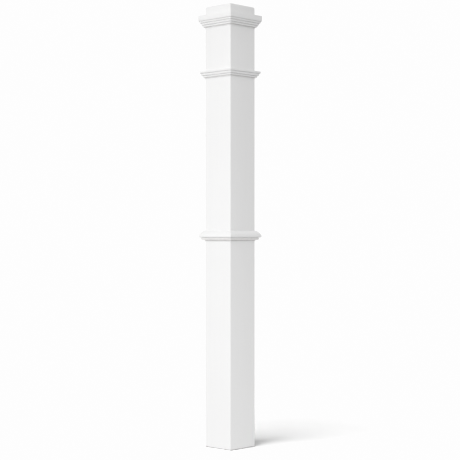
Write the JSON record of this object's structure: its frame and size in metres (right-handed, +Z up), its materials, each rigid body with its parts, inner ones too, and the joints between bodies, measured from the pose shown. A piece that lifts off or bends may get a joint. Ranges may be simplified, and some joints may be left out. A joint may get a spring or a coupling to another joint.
{
  "type": "newel post",
  "caption": "Square hollow box newel post in white painted wood, with a crown moulding under a plain cap block, a small neck moulding and a round-nosed moulding at mid height.",
  "frame": {"origin": "centre of the foot's underside, on the floor", "axes": "+Z up the shaft; the shaft's four faces are square to X and Y, with the front face towards -Y"},
  "size_m": [0.147, 0.147, 1.422],
  "materials": {
    "white_paint": "smooth white primer paint on machined wood, low sheen"
  },
  "bodies": {
    "root": {"shaft_board_front": "white_paint", "shaft_board_right": "white_paint", "shaft_board_back": "white_paint", "shaft_board_left": "white_paint", "cap_block": "white_paint", "crown_moulding_front": "white_paint", "crown_moulding_right": "white_paint", "crown_moulding_back": "white_paint", "crown_moulding_left": "white_paint", "neck_moulding_front": "white_paint", "neck_moulding_right": "white_paint", "neck_moulding_back": "white_paint", "neck_moulding_left": "white_paint", "mid_moulding_front": "white_paint", "mid_moulding_right": "white_paint", "mid_moulding_back": "white_paint", "mid_moulding_left": "white_paint"}
  },
  "joints": []
}
